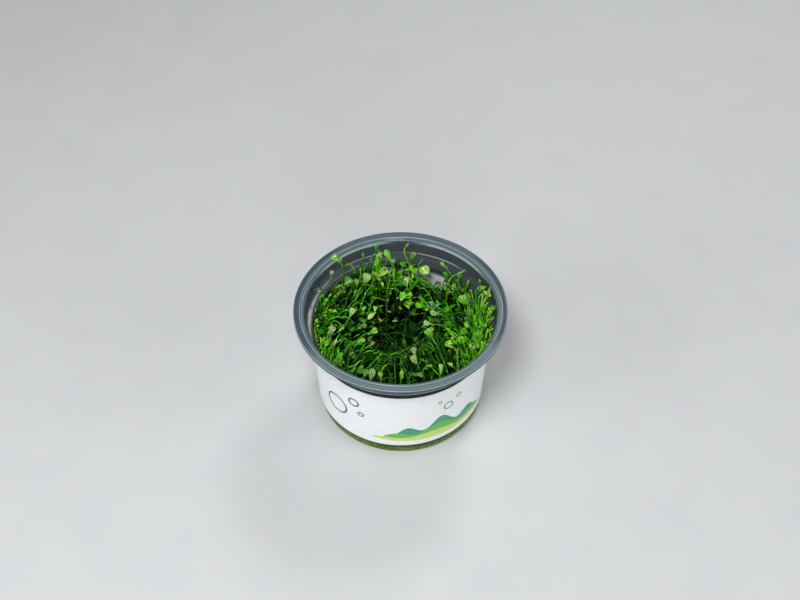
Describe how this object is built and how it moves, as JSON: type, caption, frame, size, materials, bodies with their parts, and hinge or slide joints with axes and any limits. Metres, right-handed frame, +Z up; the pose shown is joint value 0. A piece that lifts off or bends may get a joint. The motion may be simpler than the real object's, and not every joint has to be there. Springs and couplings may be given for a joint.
{
  "type": "water clover plantlets in a culture cup",
  "caption": "Open clear culture cup with a printed wrap, packed from wall to wall with small water clover plantlets that grow from a mat of roots.",
  "frame": {"origin": "on the cup's axis, at the surface that its foot ring stands on", "axes": "+Z up along the cup's axis, -Y towards the printed front, +X to the right as seen from the front"},
  "size_m": [0.101, 0.101, 0.0635],
  "materials": {
    "clear_cup": "gloss",
    "label_film": "satin",
    "root_gel": "satin",
    "leaf_crowd": "satin",
    "leaf_bright": "satin",
    "leaf_lime": "satin",
    "leaf_mid": "satin",
    "leaf_dark": "satin",
    "leaf_teal": "satin",
    "leaf_pale": "satin",
    "leaf_grey": "satin"
  },
  "bodies": {
    "root": {"cup": "clear_cup", "label": "label_film", "root_mat": "root_gel", "foliage": "leaf_crowd", "stalk_back_fork": "leaf_bright", "stalk_back_fork_side": "leaf_lime", "stalk_back_tall": "leaf_teal", "stalk_back_tall_second": "leaf_lime", "stalk_back_strap": "leaf_pale", "stalk_back_small": "leaf_mid", "stalk_back_curl": "leaf_lime", "stalk_back_curl_leaf": "leaf_dark", "stalk_back_hook": "leaf_lime", "stalk_back_spatula": "leaf_lime", "stalk_back_right_leaf": "leaf_bright", "stalk_back_right_pointed": "leaf_lime", "stalk_right_back_tip": "leaf_bright", "stalk_right_wall_tip": "leaf_lime", "stalk_right_wall_side": "leaf_bright", "stalk_back_left_pale": "leaf_pale", "stalk_left_dark": "leaf_dark", "stalk_left_round": "leaf_mid", "stalk_back_round": "leaf_mid", "stalk_back_broad": "leaf_lime", "stalk_back_two_lobed": "leaf_lime", "stalk_middle_cupped": "leaf_pale", "stalk_left_pale": "leaf_pale", "stalk_left_grey": "leaf_grey", "stalk_middle_spoon": "leaf_bright", "stalk_left_small": "leaf_mid", "stalk_front_left_broad": "leaf_lime", "stalk_front_left_curl": "leaf_bright", "stalk_front_pale_round": "leaf_pale", "stalk_front_pale_small": "leaf_pale", "stalk_front_pointed": "leaf_mid", "stalk_front_ribbon": "leaf_bright", "stalk_front_t_top": "leaf_bright", "stalk_front_right_hook": "leaf_lime", "stalk_front_pale_large": "leaf_pale", "stalk_middle_four_lobed": "leaf_teal", "stalk_middle_spatula": "leaf_pale", "stalk_middle_pale": "leaf_pale", "stalk_middle_veined": "leaf_bright", "stalk_middle_faded": "leaf_grey", "stalk_right_round": "leaf_bright", "stalk_right_cupped": "leaf_mid", "stalk_right_wall_1": "leaf_lime", "stalk_right_wall_2": "leaf_bright", "stalk_right_wall_3": "leaf_lime", "stalk_right_wall_4": "leaf_bright", "stalk_right_wall_5": "leaf_lime", "stalk_right_wall_6": "leaf_bright", "stalk_left_wall_1": "leaf_lime", "stalk_left_wall_2": "leaf_bright", "stalk_left_wall_3": "leaf_lime"}
  },
  "joints": []
}
